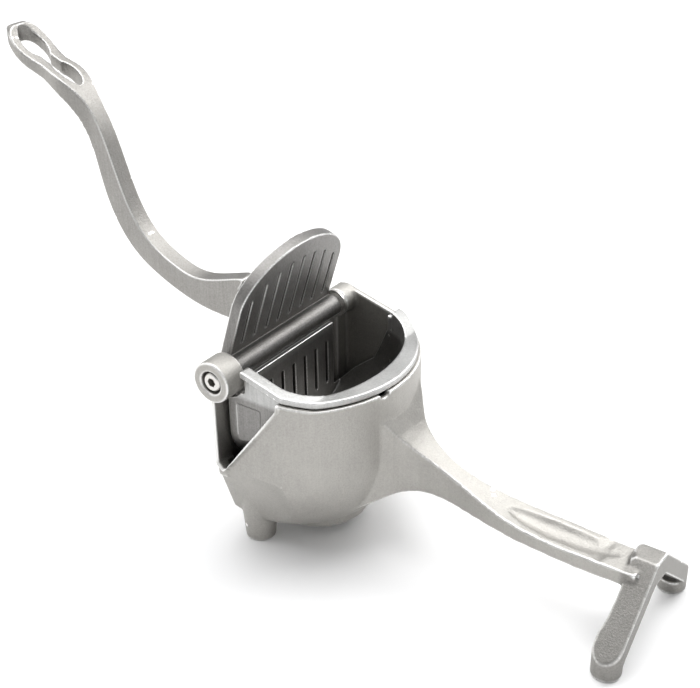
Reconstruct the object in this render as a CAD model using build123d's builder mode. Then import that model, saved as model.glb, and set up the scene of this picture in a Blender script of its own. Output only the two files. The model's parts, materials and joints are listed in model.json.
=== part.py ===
"""Hand press for fruit: a cast cup on feet, a lift-out strainer, and a lever with a press plate.

Millimetres. The floor is Z = 0. The hinge axis is parallel to Y.
+X runs from the hinge to the end of the lower handle, and the pour spout is on the -Y side.
"""
from build123d import *
from math import cos, hypot, radians, sin
import os

os.makedirs("parts", exist_ok=True)

# ---- driving dimensions -------------------------------------------------------------
hinge_z = 72.0  # height of the hinge axis
near_boss_y = 45.4  # outer face of the boss that holds the bolt's head, from the middle plane
far_boss_y = 36.4  # outer face of the boss that the bolt screws into
near_inner_y = 35.6  # inner face of the near boss, from the middle plane
far_inner_y = 28.6  # inner face of the far boss
boss_r = 7.7
far_boss_r = 5.3

barrel_r = 4.0  # hinge barrel of the lever
washer_t = 1.0
washer_r = 5.4
washer_hole_gap = 0.35  # radial, washer round the bolt
end_gap = 0.35  # washer to boss, each side
bolt_r = 2.5
bolt_tip_inset = 1.2  # bolt end to the outer face of the far boss
head_r = 3.4
head_length = 3.6
hex_flats = 3.0
hex_depth = 2.2
running_fit = 0.04  # radial, lever on bolt
bolt_hole_gap = 0.02  # radial, bolt in the near boss
head_gap = 0.9  # radial, bolt head in its pocket
pocket_depth = 4.2

cup_x = 5.5  # centre of the round of the cup
cup_r = 44.9
cheek_half = 39.4  # outer faces of the flat cheeks beside the hinge, from the cup's middle
cup_mid_y = -2.4  # the cup's middle, from the middle plane of the two handles
cup_wall = 2.6
rim_z = 67.5
wall_start_z = 42.0  # the bowl curves in below this height
cheek_taper_z = 36.5  # the cheeks slope in below this height
cheek_bottom_half = 28.4  # and are this far from the cup's middle at the bottom
bowl_bottom_z = 5.6
bowl_flat_r = 15.0
front_x = -3.8  # outer face of the flat front wall
front_wall_top = 66.0
cheek_top_z = 76.5
cheek_slope_end = 36.0  # X where the cheek's top edge meets the rim
bottom_pad_r = 19.0
bottom_pad_t = 1.6
post_bottom_z = 30.0
post_depth = 1.5  # inside post under each boss, along X from the front wall
spout_bottom_z = 35.5
spout_right_x = 25.0
spout_nose = 2.5  # the corner cut from the opening's lowest point
spout_lip = 1.5
spout_front_gap = 0.4  # opening to the inside of the front wall
spout_front_y = 43.6  # outer edge of the lip at its front end
spout_back_y = 41.9  # and at its back end

plate_half_width = 29.3
plate_straight = 22.0  # straight height of the plate's sides above the hinge axis
plate_crown = 18.0  # height of the elliptical crown above them
plate_t = 4.5
plate_foot = 3.0  # plate below the hinge axis
plate_offset = 3.2  # hinge axis to the plate's pressing face
plate_lean = 17.5  # degrees from upright at rest
plate_slot = 1.1
plate_slot_depth = 1.6
plate_slots = 8
plate_slot_margin = 7.5  # slot end to the edge of the crown
plate_slot_start = 6.0  # slot start above the hinge axis
slot_pitch = 6.8

strainer_side_gap = 4.2  # plate edge to basket side
strainer_gap = 1.2  # plate corner to the swept wall
strainer_wall = 2.0
strainer_front_x = 2.9  # inner face of the slotted wall
strainer_slot = 1.6
strainer_slots = 7
strainer_slot_top = 11.5  # below the hinge axis
strainer_slot_bottom = 30.0
strainer_front_top = 5.0  # top of the slotted wall, below the hinge axis
flange_t = 2.4
flange_inset = 1.2  # flange edge to the outside of the cup
flange_near_x = 9.2  # front end of the flange on the spout's side
flange_far_x = 24.0  # and on the other side
side_cut_y = 22.5  # the slotted wall and the far side are cut away beyond this
seat_gap = 0.3  # strainer to cup

notch_x = 47.7  # shallow lifting notch in the cup's rim
notch_y = -11.0
notch_width = 4.2
notch_depth = 1.5

recess_x = 10.0  # recessed panel on the strainer's side behind the spout
recess_z = 54.5
recess_length = 10.5
recess_height = 15.0
recess_depth = 0.6

foot_x = 5.0
foot_y = 26.1
foot_r = 5.6
foot_top_r = 7.6
foot_top_z = 24.0

root_x = 36.0  # the handle starts inside the cup's wall
root_half_width = 20.0
end_half_width = 7.2
handle_end_z = 28.6  # top of the handle where it meets the tee
low_end_z = 22.6
dish_x = 117.0
dish_half_length = 25.0  # of the spheroid that scoops the thumb dish
dish_radius = 6.8
dish_centre_z = 33.0
tee_x = 144.2
tee_mid_y = 3.2  # the tee's middle, from the middle plane of the two handles
tee_half_width = 5.2
tee_neck = 1.4  # each side of a leg narrows by this beside the handle
tee_end_y = 26.6
tee_top_z = 31.2
tee_flat = 4.0  # half width of the level top
tee_fall = 0.86  # height lost per millimetre along each leg
tee_leg_height = 8.5  # measured upright
tee_pad_top = 5.0  # of the round pad under each leg's end

lever_half_width = 3.7
loop_z = 130.0  # the finger loop's hole is cut above this height
loop_tip_x = -129.6
loop_top_z = 167.6
loop_half_width = 8.2
loop_corner_r = 6.5


# ---- worked out ---------------------------------------------------------------------
# Sketches use X from the hinge axis and Y from the handles' middle plane. The files' origin is
# on the floor under the middle of the whole press.
near_cheek_y = cheek_half - cup_mid_y
far_cheek_y = cheek_half + cup_mid_y
middle_x = (tee_x + tee_half_width + loop_tip_x) / 2
middle_y = (far_cheek_y - near_boss_y) / 2
near_barrel_y = near_inner_y - end_gap - washer_t
far_barrel_y = far_inner_y - end_gap - washer_t
hinge = Axis((0, 0, hinge_z), (0, 1, 0))
hinge_section = Plane(origin=(0, cup_mid_y, hinge_z), x_dir=(0, 1, 0), z_dir=(1, 0, 0))
plate_height = plate_straight + plate_crown
plate_sweep = (plate_height**2 + (plate_offset + plate_t) ** 2) ** 0.5
basket_half_width = plate_half_width + strainer_side_gap
basket_crown = plate_sweep + strainer_gap - plate_straight
cup_axis = Plane(origin=(cup_x, cup_mid_y, 0), x_dir=(1, 0, 0), z_dir=(0, -1, 0))
front_plane = Plane(origin=(front_x, cup_mid_y, 0), x_dir=(0, 1, 0), z_dir=(1, 0, 0))
front_inner_x = front_x + cup_wall
barrel_clear_x = boss_r + 0.9
lean = radians(plate_lean)
plate_plane = Plane(
    origin=(0, cup_mid_y, hinge_z), x_dir=(0, 1, 0), z_dir=(cos(lean), 0, -sin(lean))
)
plate_face = plate_plane.offset(-plate_offset)


def export(shape, node):
    """Move a finished sub-part into the assembly's frame, label it and write its STEP file."""
    placed = shape.moved(Location((-middle_x, -middle_y, 0)))
    placed.label = node
    export_step(placed, f"parts/{node}.step")


def bowl(inset):
    """The cup's outline, filled: a body turned about the cup's upright axis, flat in front."""
    radius = cup_r - inset
    bottom = bowl_bottom_z + inset
    top = hinge_z + 30
    with BuildPart() as solid:
        with BuildSketch(cup_axis):
            with BuildLine():
                Line((0, bottom), (bowl_flat_r, bottom))
                EllipticalCenterArc(
                    (bowl_flat_r, wall_start_z),
                    radius - bowl_flat_r,
                    wall_start_z - bottom,
                    start_angle=270,
                    arc_size=90,
                )
                Polyline((radius, wall_start_z), (radius, top), (0, top), (0, bottom))
            make_face()
        revolve(axis=Axis((cup_x, cup_mid_y, 0), (0, 0, 1)))
        with BuildSketch(front_plane.offset(inset)):
            with BuildLine():
                half_side = Polyline(
                    (0, top),
                    (cheek_half - inset, top),
                    (cheek_half - inset, cheek_taper_z),
                    (cheek_bottom_half - inset, bottom),
                    (0, bottom),
                )
                mirror(half_side, about=Plane.YZ)
            make_face()
        extrude(amount=3 * cup_r, mode=Mode.INTERSECT)
    return solid.part


def above_rim(rise):
    """Everything above the cup's top edge: level at the back, higher along the cheeks."""
    left = front_x - 20
    right = 2 * cup_r
    top = 2 * hinge_z
    with BuildPart() as solid:
        with BuildSketch(Plane.XZ):
            with BuildLine():
                Polyline(
                    (left, cheek_top_z + rise),
                    (2, cheek_top_z + rise),
                    (cheek_slope_end, rim_z + rise),
                    (right, rim_z + rise),
                    (right, top),
                    (left, top),
                    (left, cheek_top_z + rise),
                )
            make_face()
        extrude(amount=2 * cup_r, both=True)
    return solid.part


def spout_opening(grow):
    """The pour spout's three-cornered opening beside the front wall, or its lip's outline."""
    front = front_inner_x + spout_front_gap - grow
    rise = rim_z - spout_bottom_z
    right = spout_right_x + grow * hypot(spout_right_x - front, rise) / rise
    top = hinge_z + 20
    with BuildPart() as solid:
        with BuildSketch(Plane.XZ.offset(cheek_half / 2)):
            with BuildLine():
                Polyline(
                    (front, top),
                    (front, spout_bottom_z + spout_nose - grow),
                    (front + spout_nose + grow / 2, spout_bottom_z - grow),
                    (right, rim_z),
                    (right, top),
                    (front, top),
                )
            make_face()
        extrude(amount=cup_r)
    return solid.part


def swept_room(grow):
    """The room that the press plate sweeps behind the slotted wall, grown on every side."""
    half_width = basket_half_width + grow
    with BuildPart() as solid:
        with BuildSketch(hinge_section):
            with BuildLine():
                Line((-half_width, 0), (half_width, 0))
                Line((half_width, 0), (half_width, plate_straight))
                EllipticalCenterArc(
                    (0, plate_straight), half_width, basket_crown + grow, arc_size=180
                )
                Line((-half_width, plate_straight), (-half_width, 0))
            make_face()
            with Locations((0, cup_x)):
                Circle(cup_r - cup_wall - seat_gap - strainer_wall + grow, mode=Mode.INTERSECT)
        revolve(axis=hinge)
        with Locations((strainer_front_x - grow, 0, hinge_z)):
            Box(
                2 * cup_r,
                2 * cup_r,
                4 * cup_r,
                align=(Align.MIN, Align.CENTER, Align.CENTER),
                mode=Mode.INTERSECT,
            )
    return solid.part


# ---- cup body: lower handle ----------------------------------------------------------
with BuildPart() as handle:
    with BuildSketch(Plane.XZ):
        with BuildLine():
            top = Spline(
                (root_x, 70),
                (47.7, 59.3),
                (53.5, 49.8),
                (63, 42.2),
                (80.5, 34.5),
                (97.6, 30.2),
                (115, 28.8),
                (130, 28.4),
                tangents=((1, -0.8), (1, -0.03)),
            )
            low = Spline(
                (133, 22.6),
                (115, 23.4),
                (89, 24.3),
                (76, 25.6),
                (63, 27.2),
                (50, 24.5),
                (root_x, 15),
                tangents=((-1, 0), (-1, -0.8)),
            )
            Polyline(top @ 1, (tee_x, handle_end_z), (tee_x, low_end_z), low @ 0)
            Line(low @ 1, top @ 0)
        make_face()
    extrude(amount=cup_r, both=True)
    with BuildSketch(Plane.XY):
        with BuildLine():
            side = Spline(
                (root_x, root_half_width),
                (48, 14.6),
                (53.5, 8.8),
                (60, 5.6),
                (70, 4),
                (85, 5.2),
                (100, 7.3),
                (112, 7.9),
                (124, 7.7),
                (134, 7.2),
                (tee_x, end_half_width),
                tangents=((1, -0.5), (1, 0)),
            )
            mirror(side, about=Plane.XZ)
            Line((root_x, root_half_width), (root_x, -root_half_width))
            Line((tee_x, end_half_width), (tee_x, -end_half_width))
        make_face()
    extrude(amount=hinge_z, mode=Mode.INTERSECT)

# ---- cup body: thumb dish scooped from the handle ---------------------------------------
with BuildPart() as dish:
    with BuildSketch(Plane.XZ):
        with Locations((dish_x, dish_centre_z)):
            Ellipse(dish_half_length, dish_radius)
        with Locations((dish_x, dish_centre_z)):
            Rectangle(
                2 * dish_half_length,
                dish_radius,
                align=(Align.CENTER, Align.MIN),
                mode=Mode.SUBTRACT,
            )
    revolve(axis=Axis((0, 0, dish_centre_z), (1, 0, 0)))

# ---- cup body: tee foot at the end of the handle ----------------------------------------
with BuildPart() as tee:
    with BuildSketch(Plane(origin=(tee_x, tee_mid_y, 0), x_dir=(0, 1, 0), z_dir=(1, 0, 0))):
        with BuildLine():
            reach = tee_end_y + tee_half_width
            reach_z = tee_top_z - tee_fall * (reach - tee_flat)
            legs = Polyline(
                (0, tee_top_z),
                (tee_flat, tee_top_z),
                (reach, reach_z),
                (reach, reach_z - tee_leg_height),
                (tee_flat, tee_top_z - tee_leg_height),
                (0, tee_top_z - tee_leg_height),
            )
            mirror(legs, about=Plane.YZ)
        make_face()
    extrude(amount=tee_half_width, both=True)
    with Locations((tee_x, tee_mid_y + tee_end_y, 0), (tee_x, tee_mid_y - tee_end_y, 0)):
        Cylinder(
            tee_half_width, tee_pad_top, align=(Align.CENTER, Align.CENTER, Align.MIN)
        )
    with BuildSketch(Plane(origin=(tee_x, tee_mid_y, 0), x_dir=(1, 0, 0), z_dir=(0, 0, 1))):
        with Locations((0, tee_end_y), (0, -tee_end_y)):
            Circle(tee_half_width)
        Rectangle(2 * tee_half_width, 2 * tee_end_y)
        with Locations((-tee_half_width, tee_end_y / 2), (-tee_half_width, -tee_end_y / 2)):
            Ellipse(tee_neck, tee_end_y / 2 - 3, mode=Mode.SUBTRACT)
    extrude(amount=hinge_z, mode=Mode.INTERSECT)

# ---- cup body: lip round the pour spout --------------------------------------------------
with BuildPart() as spout:
    add(spout_opening(spout_lip))
    with BuildSketch(Plane.XY):
        with BuildLine():
            Polyline(
                (front_x, cup_wall - near_cheek_y),
                (front_x, -spout_front_y),
                (spout_right_x + 8, -spout_back_y),
                (spout_right_x + 8, 3 * cup_wall - near_cheek_y),
                (front_x, cup_wall - near_cheek_y),
            )
        make_face()
    extrude(amount=3 * hinge_z, mode=Mode.INTERSECT)

# ---- cup body: the one casting ------------------------------------------------------------
with BuildPart() as cup_body:
    add(bowl(0))
    with Locations((cup_x + 8, cup_mid_y, bowl_bottom_z - bottom_pad_t)):
        Cylinder(
            bottom_pad_r, bottom_pad_t + 2, align=(Align.CENTER, Align.CENTER, Align.MIN)
        )
    with Locations((foot_x, cup_mid_y + foot_y, 0), (foot_x, cup_mid_y - foot_y, 0)):
        Cone(foot_r, foot_top_r, foot_top_z, align=(Align.CENTER, Align.CENTER, Align.MIN))
    add(handle.part)
    add(tee.part)
    add(dish.part, mode=Mode.SUBTRACT)
    add(spout.part)
    add(above_rim(0), mode=Mode.SUBTRACT)
    add(bowl(cup_wall), mode=Mode.SUBTRACT)
    with Locations((front_x, (far_inner_y - near_inner_y) / 2, front_wall_top)):
        Box(
            cup_wall,
            near_inner_y + far_inner_y,
            hinge_z,
            align=(Align.MIN, Align.CENTER, Align.MIN),
            mode=Mode.SUBTRACT,
        )
    with Locations((front_x, -near_inner_y, post_bottom_z)):
        Box(
            cup_wall + post_depth,
            near_cheek_y - cup_wall / 2 - near_inner_y,
            hinge_z - post_bottom_z,
            align=(Align.MIN, Align.MAX, Align.MIN),
        )
    with Locations((front_x, far_inner_y, post_bottom_z)):
        Box(
            cup_wall + post_depth,
            far_cheek_y - cup_wall / 2 - far_inner_y,
            hinge_z - post_bottom_z,
            align=(Align.MIN, Align.MIN, Align.MIN),
        )
    add(spout_opening(0), mode=Mode.SUBTRACT)
    with Locations((notch_x, notch_y, rim_z)):
        Box(2 * cup_wall + 3, notch_width, 2 * notch_depth, mode=Mode.SUBTRACT)
    with BuildSketch(Plane.XZ.offset(near_inner_y)):
        with Locations((0, hinge_z)):
            Circle(boss_r)
    extrude(amount=near_boss_y - near_inner_y)
    with BuildSketch(Plane.XZ.offset(-far_inner_y)):
        with Locations((0, hinge_z)):
            Circle(far_boss_r)
    extrude(amount=far_inner_y - far_boss_y)
    with BuildSketch(Plane.XZ.offset(near_boss_y)):
        with Locations((0, hinge_z)):
            Circle(head_r + head_gap)
    extrude(amount=-pocket_depth, mode=Mode.SUBTRACT)
    with BuildSketch(Plane.XZ.offset(near_boss_y)):
        with Locations((0, hinge_z)):
            Circle(bolt_r + bolt_hole_gap)
    extrude(amount=near_inner_y - near_boss_y, mode=Mode.SUBTRACT)
    with BuildSketch(Plane.XZ.offset(-far_inner_y)):
        with Locations((0, hinge_z)):
            Circle(bolt_r)
    extrude(amount=far_inner_y - far_boss_y, mode=Mode.SUBTRACT)
export(cup_body.part, "cup_body")

# ---- strainer that rests in the cup -----------------------------------------------------
with BuildPart() as flange:
    add(bowl(flange_inset))
    add(above_rim(seat_gap + flange_t), mode=Mode.SUBTRACT)
    add(above_rim(seat_gap), mode=Mode.INTERSECT)
    with Locations((flange_near_x, 0, hinge_z)):
        Box(
            2 * cup_r,
            2 * cup_r,
            2 * cup_r,
            align=(Align.MIN, Align.CENTER, Align.CENTER),
            mode=Mode.INTERSECT,
        )
    with Locations((flange_far_x, side_cut_y, hinge_z)):
        Box(
            cup_r,
            cup_r,
            cup_r,
            align=(Align.MAX, Align.MIN, Align.CENTER),
            mode=Mode.SUBTRACT,
        )

with BuildPart() as strainer:
    add(swept_room(strainer_wall))
    add(above_rim(seat_gap), mode=Mode.SUBTRACT)
    add(flange.part)
    add(swept_room(0), mode=Mode.SUBTRACT)
    with Locations((strainer_front_x - 2 * strainer_wall, 0, hinge_z - strainer_front_top)):
        Box(
            2 * strainer_wall + barrel_clear_x - strainer_front_x,
            3 * cup_r,
            cup_r,
            align=(Align.MIN, Align.CENTER, Align.MIN),
            mode=Mode.SUBTRACT,
        )
    with BuildSketch(Plane.XZ.offset(near_inner_y - seat_gap)):
        with Locations((0, hinge_z)):
            Circle(barrel_clear_x)
    extrude(amount=cup_r, mode=Mode.SUBTRACT)
    with BuildSketch(Plane.XZ.offset(seat_gap - far_inner_y)):
        with Locations((0, hinge_z)):
            Circle(barrel_clear_x)
    extrude(amount=-cup_r, mode=Mode.SUBTRACT)
    with BuildSketch(Plane.XZ.offset(near_barrel_y - seat_gap)):
        with Locations((0, hinge_z)):
            Circle(washer_r + 2 * seat_gap)
    extrude(amount=cup_r, mode=Mode.SUBTRACT)
    with BuildSketch(Plane.XZ.offset(-side_cut_y)):
        with BuildLine():
            Polyline(
                (-4, 38.5),
                (1.5, 38.5),
                (7.5, 45),
                (16.2, 52),
                (22, 66),
                (22, 2 * hinge_z),
                (-4, 2 * hinge_z),
                (-4, 38.5),
            )
        make_face()
    extrude(amount=-cup_r, mode=Mode.SUBTRACT)
    side_y = cup_mid_y - basket_half_width - strainer_wall
    with Locations((recess_x, side_y, recess_z)):
        Box(recess_length, 2 * recess_depth, recess_height, mode=Mode.SUBTRACT)
    slot_height = strainer_slot_bottom - strainer_slot_top
    with BuildSketch(Plane.YZ):
        with Locations((cup_mid_y, hinge_z - strainer_slot_top - slot_height / 2)):
            with GridLocations(slot_pitch, 1, strainer_slots, 1):
                SlotOverall(slot_height, strainer_slot, rotation=90)
    extrude(amount=3 * strainer_wall, both=True, mode=Mode.SUBTRACT)
export(strainer.part, "strainer")

# ---- press lever: plate, hinge barrel, neck and finger loop in one casting -----------------
with BuildPart() as press_lever:
    with BuildSketch(Plane.XZ):
        with BuildLine():
            under = Spline(
                (-4, 73),
                (-24, 71.2),
                (-41, 72.6),
                (-57, 77.8),
                (-72, 86.5),
                (-82, 99.5),
                (-87.5, 114.8),
                (-91.2, 129),
                (-97.5, 141.0),
                (-107, 148.6),
                (-118, 154.4),
                (-126.5, 160.6),
                (-129.5, 165),
                tangents=((-1, -0.2), (-0.25, 1)),
            )
            over = Spline(
                (-126, 167),
                (-120.5, 161.2),
                (-113, 156.8),
                (-103.5, 153.2),
                (-95.5, 148.2),
                (-89, 140.5),
                (-83.5, 129.5),
                (-79, 117),
                (-73.6, 104.2),
                (-65, 93.2),
                (-53, 86.4),
                (-38.6, 84.3),
                (-19, 88.6),
                (0, 98.5),
                tangents=((0.6, -1), (1, 0.75)),
            )
            end = ThreePointArc(under @ 1, (-129.3, 167), over @ 0)
            Line(over @ 1, under @ 0)
        make_face()
    extrude(amount=cup_r, both=True)
    with BuildSketch(Plane.XY):
        with BuildLine():
            loop_side = Spline(
                (-88, lever_half_width),
                (-96, 5.7),
                (-103, 7.2),
                (-110, 6.6),
                (-118, 8.0),
                (-125, 7.4),
                (-131, 0),
                tangents=((-1, 0), (0, -1)),
            )
            mirror(loop_side, about=Plane.XZ)
            Polyline(
                (-88, lever_half_width),
                (20, lever_half_width),
                (20, -lever_half_width),
                (-88, -lever_half_width),
            )
        make_face()
    extrude(amount=4 * hinge_z, mode=Mode.INTERSECT)
    with BuildSketch(Plane.YZ):
        with Locations((0, loop_top_z / 2)):
            RectangleRounded(2 * loop_half_width, loop_top_z, loop_corner_r)
    extrude(amount=4 * hinge_z, both=True, mode=Mode.INTERSECT)
    with BuildSketch(Plane.XY.offset(loop_z)):
        with Locations((-120, 0)):
            Ellipse(6.2, 4.7)
        with Locations((-103.5, 0)):
            Ellipse(6.8, 3.8)
        with Locations((-112, 0)):
            Rectangle(10, 4.6)
    extrude(amount=hinge_z, mode=Mode.SUBTRACT)
    with BuildSketch(plate_face):
        with BuildLine():
            Line((-plate_half_width, -plate_foot), (plate_half_width, -plate_foot))
            Line((plate_half_width, -plate_foot), (plate_half_width, plate_straight))
            EllipticalCenterArc((0, plate_straight), plate_half_width, plate_crown, arc_size=180)
            Line((-plate_half_width, plate_straight), (-plate_half_width, -plate_foot))
        make_face()
    extrude(amount=-plate_t)
    with BuildSketch(Plane.XZ.offset(near_barrel_y)):
        with Locations((0, hinge_z)):
            Circle(barrel_r)
    extrude(amount=-(near_barrel_y + far_barrel_y))
    for i in range(plate_slots):
        u = (i - (plate_slots - 1) / 2) * slot_pitch
        slot_top = plate_straight + plate_crown * (1 - (u / plate_half_width) ** 2) ** 0.5
        slot_length = slot_top - plate_slot_margin - plate_slot_start
        with BuildSketch(plate_face):
            with Locations((u, plate_slot_start + slot_length / 2)):
                SlotOverall(slot_length, plate_slot, rotation=90)
        extrude(amount=-plate_slot_depth, mode=Mode.SUBTRACT)
    with BuildSketch(Plane.XZ):
        with Locations((0, hinge_z)):
            Circle(bolt_r + running_fit)
    extrude(amount=cup_r, both=True, mode=Mode.SUBTRACT)
export(press_lever.part, "press_lever")

# ---- hinge bolt and its two washers --------------------------------------------------------
with BuildPart() as hinge_bolt:
    head_y = near_boss_y - pocket_depth
    with BuildSketch(Plane.XZ.offset(head_y)):
        with Locations((0, hinge_z)):
            Circle(head_r)
    extrude(amount=head_length)
    chamfer(hinge_bolt.faces().sort_by(Axis.Y)[0].edges(), 0.4)
    with BuildSketch(Plane.XZ.offset(head_y)):
        with Locations((0, hinge_z)):
            Circle(bolt_r)
    extrude(amount=-(head_y + far_boss_y - bolt_tip_inset))
    with BuildSketch(Plane.XZ.offset(head_y + head_length)):
        with Locations((0, hinge_z)):
            RegularPolygon(hex_flats / 2, 6, major_radius=False)
    extrude(amount=-hex_depth, mode=Mode.SUBTRACT)
export(hinge_bolt.part, "hinge_bolt")

for side_name, barrel_end, direction in (("near", near_barrel_y, 1), ("far", far_barrel_y, -1)):
    with BuildPart() as washer:
        with BuildSketch(Plane.XZ.offset(direction * barrel_end)):
            with Locations((0, hinge_z)):
                Circle(washer_r)
                Circle(bolt_r + washer_hole_gap, mode=Mode.SUBTRACT)
        extrude(amount=direction * washer_t)
    export(washer.part, f"washer_{side_name}")
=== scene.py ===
"""Looks for the hand citrus press.

Cast skins stand over the CAD frame, in brushed and sand-blasted metal, in a plain pale studio.
"""

import json
from math import cos, radians, sin

import bpy
import bmesh
import numpy as np
from mathutils import Matrix, Vector


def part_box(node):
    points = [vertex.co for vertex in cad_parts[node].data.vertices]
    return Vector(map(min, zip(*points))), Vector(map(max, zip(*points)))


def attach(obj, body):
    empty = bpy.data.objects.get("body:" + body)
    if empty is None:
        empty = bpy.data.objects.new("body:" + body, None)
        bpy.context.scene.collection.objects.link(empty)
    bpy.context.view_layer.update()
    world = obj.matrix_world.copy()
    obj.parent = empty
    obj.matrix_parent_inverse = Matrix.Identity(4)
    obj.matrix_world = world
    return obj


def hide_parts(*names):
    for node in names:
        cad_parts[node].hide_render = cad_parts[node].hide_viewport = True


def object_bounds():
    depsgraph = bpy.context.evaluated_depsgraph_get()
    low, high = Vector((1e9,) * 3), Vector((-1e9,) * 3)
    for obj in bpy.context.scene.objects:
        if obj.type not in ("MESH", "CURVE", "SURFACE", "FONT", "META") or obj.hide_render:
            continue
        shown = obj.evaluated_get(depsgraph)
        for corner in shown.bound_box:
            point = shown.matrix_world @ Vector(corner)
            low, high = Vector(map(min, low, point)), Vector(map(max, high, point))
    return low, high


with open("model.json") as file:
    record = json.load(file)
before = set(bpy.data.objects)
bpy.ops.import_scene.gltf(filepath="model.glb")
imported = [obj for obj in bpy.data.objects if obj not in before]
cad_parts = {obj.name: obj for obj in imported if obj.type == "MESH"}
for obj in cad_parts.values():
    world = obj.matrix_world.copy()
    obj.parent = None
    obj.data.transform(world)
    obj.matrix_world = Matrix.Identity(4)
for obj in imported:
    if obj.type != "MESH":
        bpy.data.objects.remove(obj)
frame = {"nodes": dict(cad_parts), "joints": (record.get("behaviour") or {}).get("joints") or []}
cad_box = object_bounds()

MM = 0.001
hinge = Vector(frame["joints"][0]["pos_m"])


# ---- metal finish: noise scales are per metre, bump depths in metres ------------------------
CLOUD_SCALE = 55.0
FINE_SCALE = 2400.0
SPECKLE_SCALE = 1500.0
CLOUD_WEIGHT = 0.4
FINE_WEIGHT = 0.35
SPECKLE_WEIGHT = 0.35
TONE_SPREAD = 0.25  # half of the noise range that runs from the dull to the bright colour
EDGE_HIGHLIGHT_FROM = 0.512  # pointiness where the painted edge highlight starts
FULL_EDGE_HIGHLIGHT = 0.55
HOLLOW_SHADE_FROM = 0.492  # pointiness where the painted shade in a hollow starts
FULL_HOLLOW_SHADE = 0.45
HOLLOW_SHADE_AMOUNT = 0.7
SUNK_SHADE = 0.3
EDGE_HIGHLIGHT_COLOUR = (0.92, 0.915, 0.90)
HIGHLIGHT_EDGE_GLOSS = 0.16  # roughness that an edge with the painted highlight loses
ROUGH_SPREAD = 0.06
FINE_DEPTH = 0.00012
SPECKLE_DEPTH = 0.00025
LINE_DEPTH = 0.00006


# ---- node helpers -------------------------------------------------------------------------
class Nodes:
    """A short way to write a material's node tree."""

    def __init__(self, name):
        self.material = bpy.data.materials.new(name)
        self.material.use_nodes = True
        self.tree = self.material.node_tree
        self.tree.nodes.clear()
        output = self.tree.nodes.new("ShaderNodeOutputMaterial")
        self.shader = self.tree.nodes.new("ShaderNodeBsdfPrincipled")
        self.join(self.shader.outputs["BSDF"], output.inputs["Surface"])

    def join(self, out_socket, in_socket):
        self.tree.links.new(out_socket, in_socket)

    def node(self, kind, **settings):
        made = self.tree.nodes.new(kind)
        for key, value in settings.items():
            setattr(made, key, value)
        return made

    def stretched(self, x, y, z):
        """The piece's own coordinates, scaled along each axis."""
        place = self.node("ShaderNodeTexCoord")
        mapping = self.node("ShaderNodeMapping")
        mapping.inputs["Scale"].default_value = (x, y, z)
        self.join(place.outputs["Object"], mapping.inputs["Vector"])
        return mapping.outputs["Vector"]

    def noise(self, vector, scale, detail=4.0, roughness=0.6):
        made = self.node("ShaderNodeTexNoise")
        made.inputs["Scale"].default_value = scale
        made.inputs["Detail"].default_value = detail
        made.inputs["Roughness"].default_value = roughness
        self.join(vector, made.inputs["Vector"])
        return made.outputs["Fac"]

    def remap(self, value, low, high, to_low, to_high):
        made = self.node("ShaderNodeMapRange")
        made.inputs["From Min"].default_value = low
        made.inputs["From Max"].default_value = high
        made.inputs["To Min"].default_value = to_low
        made.inputs["To Max"].default_value = to_high
        self.join(value, made.inputs["Value"])
        return made.outputs["Result"]

    def math(self, operation, a, b):
        made = self.node("ShaderNodeMath", operation=operation)
        for socket, value in zip(made.inputs, (a, b)):
            if isinstance(value, (int, float)):
                socket.default_value = value
            else:
                self.join(value, socket)
        return made.outputs[0]

    def mix(self, factor, a, b):
        made = self.node("ShaderNodeMix", data_type="RGBA")
        self.join(factor, made.inputs["Factor"])
        for socket, value in ((made.inputs[6], a), (made.inputs[7], b)):
            if isinstance(value, tuple):
                socket.default_value = (*value, 1.0)
            else:
                self.join(value, socket)
        return made.outputs[2]

    def bump(self, height, strength, distance, normal=None):
        made = self.node("ShaderNodeBump")
        made.inputs["Strength"].default_value = strength
        made.inputs["Distance"].default_value = distance
        self.join(height, made.inputs["Height"])
        if normal is not None:
            self.join(normal, made.inputs["Normal"])
        return made.outputs["Normal"]


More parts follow.
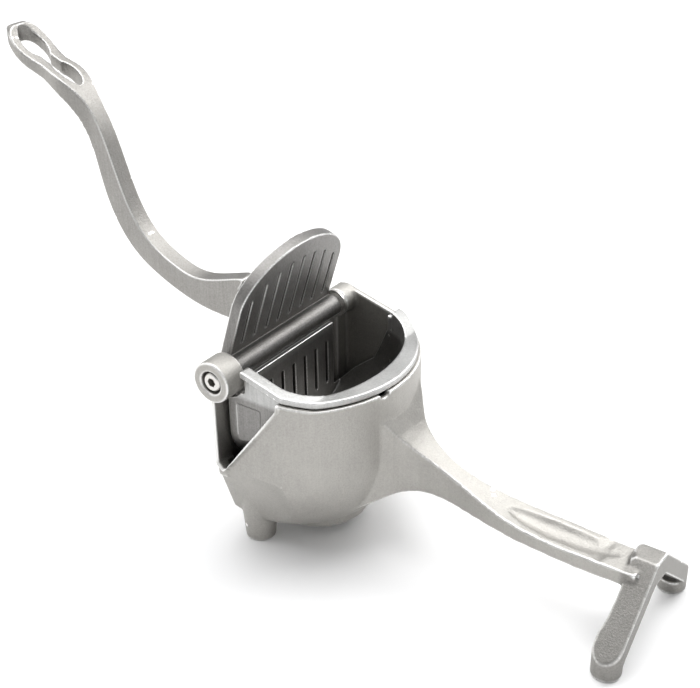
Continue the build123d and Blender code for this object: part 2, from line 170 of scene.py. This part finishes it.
def metal(name, dull, bright, rough, grain, streak, streak_axes, edge_highlight_gain=1.0, zones=()):
    """Metal with cast grain, brushing along one axis, painted highlights on its edges and painted
    shade in its hollows.

    Each zone, here a band of painted shade, is an axis, where it starts and ends along it, and a
    dull and a bright colour.
    """
    nodes = Nodes(name)
    own_place = nodes.stretched(1, 1, 1)
    cloud = nodes.noise(own_place, CLOUD_SCALE, 3.0)
    fine = nodes.noise(own_place, FINE_SCALE, 3.0)
    speckle = nodes.noise(own_place, SPECKLE_SCALE, 2.0, 0.6)
    lines = nodes.noise(nodes.stretched(*streak_axes), 1.0, 6.0, 0.7)
    edge = nodes.node("ShaderNodeNewGeometry").outputs["Pointiness"]
    edge_highlight = nodes.remap(edge, EDGE_HIGHLIGHT_FROM, FULL_EDGE_HIGHLIGHT, 0.0, edge_highlight_gain)
    hollow_shade = nodes.remap(edge, HOLLOW_SHADE_FROM, FULL_HOLLOW_SHADE, 0.0, HOLLOW_SHADE_AMOUNT)

    clouds = nodes.math("MULTIPLY", cloud, CLOUD_WEIGHT)
    tone = nodes.math("ADD", clouds, nodes.math("MULTIPLY", fine, FINE_WEIGHT))
    tone = nodes.math("ADD", tone, nodes.math("MULTIPLY", speckle, SPECKLE_WEIGHT))
    tone = nodes.math("ADD", tone, nodes.math("MULTIPLY", lines, streak))
    middle_tone = (CLOUD_WEIGHT + FINE_WEIGHT + SPECKLE_WEIGHT + streak) / 2
    tone = nodes.remap(tone, middle_tone - TONE_SPREAD, middle_tone + TONE_SPREAD, 0.0, 1.0)
    colour = nodes.mix(tone, dull, bright)
    if zones:
        place = nodes.node("ShaderNodeTexCoord")
        split = nodes.node("ShaderNodeSeparateXYZ")
        nodes.join(place.outputs["Object"], split.inputs["Vector"])
    # Painted shade: each zone recolours a band of the piece darker.
    for axis, start, end, zone_dull, zone_bright in zones:
        inside = nodes.remap(split.outputs[axis], start, end, 0.0, 1.0)
        colour = nodes.mix(inside, colour, nodes.mix(tone, zone_dull, zone_bright))
    # Painted highlight: convex edges are coloured near white, standing in for the light they
    # catch.
    colour = nodes.mix(edge_highlight, colour, EDGE_HIGHLIGHT_COLOUR)
    # Painted shade: hollows and creases are coloured darker, standing in for the shade that falls
    # in them.
    colour = nodes.mix(hollow_shade, colour, tuple(SUNK_SHADE * c for c in dull))
    nodes.join(colour, nodes.shader.inputs["Base Color"])

    grit = nodes.math("ADD", cloud, fine)
    roughness = nodes.remap(grit, 0.7, 1.3, rough - ROUGH_SPREAD, rough + ROUGH_SPREAD)
    roughness = nodes.math("SUBTRACT", roughness, nodes.math("MULTIPLY", edge_highlight, HIGHLIGHT_EDGE_GLOSS))
    nodes.join(roughness, nodes.shader.inputs["Roughness"])

    normal = nodes.bump(fine, grain, FINE_DEPTH)
    normal = nodes.bump(speckle, 0.5 * grain, SPECKLE_DEPTH, normal)
    normal = nodes.bump(lines, min(1.0, streak * 1.2), LINE_DEPTH, normal)
    nodes.join(normal, nodes.shader.inputs["Normal"])
    nodes.shader.inputs["Metallic"].default_value = 1.0
    return nodes.material


UPRIGHT_LINES = (1400.0, 1400.0, 35.0)
ROUND_LINES = (1500.0, 60.0, 1500.0)
X_AXIS = 0
Z_AXIS = 2
TEE_LENGTH = 10.9 * MM
TEE_BLEND = 1.5 * MM
PLATE_REACH = 9 * MM  # the press plate's side of the lever starts this far before the hinge
PLATE_BLEND = 4 * MM
BASKET_DROP = 6.2 * MM  # painted shade: the strainer's colour turns dark between these depths below the hinge axis
BASKET_FULL_SHADE = 8 * MM

# Painted shade: the tee is coloured darker and coarser than the handle, the strainer dark below
# its flange, and the press plate's side of the lever darker than the arm, standing in for the
# shade that falls on them.
tee_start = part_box("cup_body")[1][0] - TEE_LENGTH
plate_start = hinge.x - PLATE_REACH
# Painted shade on the tee: its colour is darker than the rest of the cup.
tee_shade_zone = (
    X_AXIS, tee_start, tee_start + TEE_BLEND, (0.18, 0.175, 0.165), (0.38, 0.37, 0.35)
)
# Painted shade on the press plate's side of the lever: its colour is darker than the arm.
plate_shade_zone = (
    X_AXIS, plate_start, plate_start + PLATE_BLEND, (0.13, 0.127, 0.12), (0.34, 0.33, 0.32)
)
# Painted shade on the strainer below its flange.
basket_shade_zone = (
    Z_AXIS, hinge.z - BASKET_DROP, hinge.z - BASKET_FULL_SHADE, (0.16, 0.157, 0.15), (0.36, 0.35, 0.34)
)
blasted = metal(
    "blasted_aluminium",
    dull=(0.31, 0.30, 0.282),
    bright=(0.52, 0.506, 0.478),
    rough=0.52,
    grain=0.9,
    streak=0.2,
    streak_axes=UPRIGHT_LINES,
    zones=(tee_shade_zone,),
)
brushed = metal(
    "brushed_aluminium",
    dull=(0.20, 0.193, 0.182),
    bright=(0.42, 0.408, 0.388),
    rough=0.46,
    grain=0.9,
    streak=0.35,
    streak_axes=UPRIGHT_LINES,
    zones=(plate_shade_zone,),
)
strainer_metal = metal(
    "strainer_aluminium",
    dull=(0.34, 0.338, 0.33),
    bright=(0.60, 0.60, 0.59),
    rough=0.42,
    grain=0.5,
    streak=0.4,
    streak_axes=UPRIGHT_LINES,
    zones=(basket_shade_zone,),
)
turned = metal(
    "turned_steel",
    dull=(0.40, 0.385, 0.36),
    bright=(0.62, 0.60, 0.56),
    rough=0.34,
    grain=0.12,
    streak=0.3,
    streak_axes=ROUND_LINES,
    edge_highlight_gain=0.3,
)


# ---- cast skins ---------------------------------------------------------------------------
SAME_POINT = 1e-6


def finished(piece):
    """The piece's mesh with its modifiers applied."""
    graph = bpy.context.evaluated_depsgraph_get()
    mesh = bpy.data.meshes.new_from_object(piece.evaluated_get(graph))
    piece.modifiers.clear()
    piece.data = mesh


def cast_skin(node, voxel, rounds, material, body):
    """A copy of a CAD node whose edges are rounded off as on a casting, standing for that node."""
    mesh = frame["nodes"][node].data.copy()
    piece = bpy.data.objects.new(node + "_skin", mesh)
    bpy.context.collection.objects.link(piece)
    shell = bmesh.new()
    shell.from_mesh(mesh)
    bmesh.ops.remove_doubles(shell, verts=shell.verts, dist=SAME_POINT)
    shell.to_mesh(mesh)
    shell.free()
    remesh = piece.modifiers.new("skin", "REMESH")
    remesh.mode = "VOXEL"
    remesh.voxel_size = voxel
    soften = piece.modifiers.new("soften", "SMOOTH")
    soften.factor = 0.5
    soften.iterations = rounds
    finished(piece)
    low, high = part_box(node)
    places = np.empty(len(piece.data.vertices) * 3)
    piece.data.vertices.foreach_get("co", places)
    places = np.clip(places.reshape(-1, 3), low, high)
    piece.data.vertices.foreach_set("co", places.ravel())
    piece.data.polygons.foreach_set("use_smooth", [True] * len(piece.data.polygons))
    piece.data.materials.clear()
    piece.data.materials.append(material)
    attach(piece, body)
    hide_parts(node)


cast_skin("cup_body", 0.5 * MM, 8, blasted, "cup")
cast_skin("press_lever", 0.35 * MM, 6, brushed, "lever")
cast_skin("strainer", 0.35 * MM, 5, strainer_metal, "basket")

for steel_node in ("hinge_bolt", "washer_near", "washer_far"):
    steel = frame["nodes"][steel_node]
    steel.data.materials.clear()
    steel.data.materials.append(turned)


# ---- studio -------------------------------------------------------------------------------
def floor_material():
    """Pale matt floor with a faint, broad cloudiness."""
    nodes = Nodes("pale_floor")
    cloud = nodes.noise(nodes.stretched(1, 1, 1), 3.0)
    colour = nodes.mix(cloud, (0.90, 0.90, 0.90), (0.93, 0.93, 0.93))
    nodes.join(colour, nodes.shader.inputs["Base Color"])
    nodes.shader.inputs["Roughness"].default_value = 0.9
    nodes.shader.inputs["Specular IOR Level"].default_value = 0.1
    return nodes.material


FLOOR_HALF = 6.0
FLOOR_DROP = 0.0002  # below the feet, so that the faces never coincide
floor_mesh = bpy.data.meshes.new("floor")
floor_signs = ((-1, -1), (1, -1), (1, 1), (-1, 1))
floor_corners = [(x * FLOOR_HALF, y * FLOOR_HALF, -FLOOR_DROP) for x, y in floor_signs]
floor_mesh.from_pydata(floor_corners, [], [(0, 1, 2, 3)])
floor = bpy.data.objects.new("floor", floor_mesh)
floor_mesh.materials.append(floor_material())
bpy.context.collection.objects.link(floor)

world = bpy.data.worlds.new("studio")
world.use_nodes = True
surroundings = world.node_tree.nodes["Background"]
surroundings.inputs["Color"].default_value = (0.97, 0.98, 1.0, 1.0)
surroundings.inputs["Strength"].default_value = 0.35
bpy.context.scene.world = world


def softbox(name, offset, width, height, power):
    """A rectangular area light at an offset from the press's middle, turned towards it."""
    light = bpy.data.lights.new(name, "AREA")
    light.shape = "RECTANGLE"
    light.size = width
    light.size_y = height
    light.energy = power
    lamp = bpy.data.objects.new(name, light)
    lamp.location = middle + Vector(offset)
    lamp.rotation_euler = (middle - lamp.location).to_track_quat("-Z", "Y").to_euler()
    bpy.context.collection.objects.link(lamp)


middle = (Vector(cad_box[0]) + Vector(cad_box[1])) / 2
softbox("top", offset=(-0.15, 0.25, 0.9), width=1.1, height=0.9, power=5.0)
softbox("left", offset=(-0.9, -0.45, 0.25), width=0.6, height=0.6, power=2.6)
softbox("back", offset=(0.35, 0.85, 0.7), width=0.7, height=0.5, power=7.0)
softbox("right", offset=(0.8, -0.7, 0.35), width=0.5, height=0.8, power=1.5)

SKY_STRENGTH = 1.9
SKY_SPREAD = radians(70)
SKY_DIRECTION = Vector((0.25, -0.1, -1))
sky = bpy.data.lights.new("sky", "SUN")
sky.energy = SKY_STRENGTH
sky.angle = SKY_SPREAD
sky_lamp = bpy.data.objects.new("sky", sky)
sky_lamp.rotation_euler = SKY_DIRECTION.to_track_quat("-Z", "Y").to_euler()
bpy.context.collection.objects.link(sky_lamp)

# ---- camera -------------------------------------------------------------------------------
VIEW_AZIMUTH = radians(35.49)
VIEW_ELEVATION = radians(29.01)
VIEW_ROLL = radians(-0.67)
VIEW_LENS = 66.2
VIEW_SENSOR = 36.0
VIEW_PLACE = Vector((0.2599, -0.3246, 0.2257))  # from the hinge

back = Vector(
    (
        sin(VIEW_AZIMUTH) * cos(VIEW_ELEVATION),
        -cos(VIEW_AZIMUTH) * cos(VIEW_ELEVATION),
        sin(VIEW_ELEVATION),
    )
)
right = Vector((cos(VIEW_AZIMUTH), sin(VIEW_AZIMUTH), 0))
up = back.cross(right)
rolled_right = cos(VIEW_ROLL) * right + sin(VIEW_ROLL) * up
rolled_up = cos(VIEW_ROLL) * up - sin(VIEW_ROLL) * right
turn = Matrix((rolled_right, rolled_up, back)).transposed()

lens = bpy.data.cameras.new("view")
lens.lens = VIEW_LENS
lens.sensor_width = VIEW_SENSOR
lens.clip_start = 0.01
lens.clip_end = 50.0
camera = bpy.data.objects.new("view", lens)
camera.matrix_world = Matrix.Translation(hinge + VIEW_PLACE) @ turn.to_4x4()
bpy.context.collection.objects.link(camera)
bpy.context.scene.camera = camera
bpy.context.scene.view_settings.view_transform = "Standard"
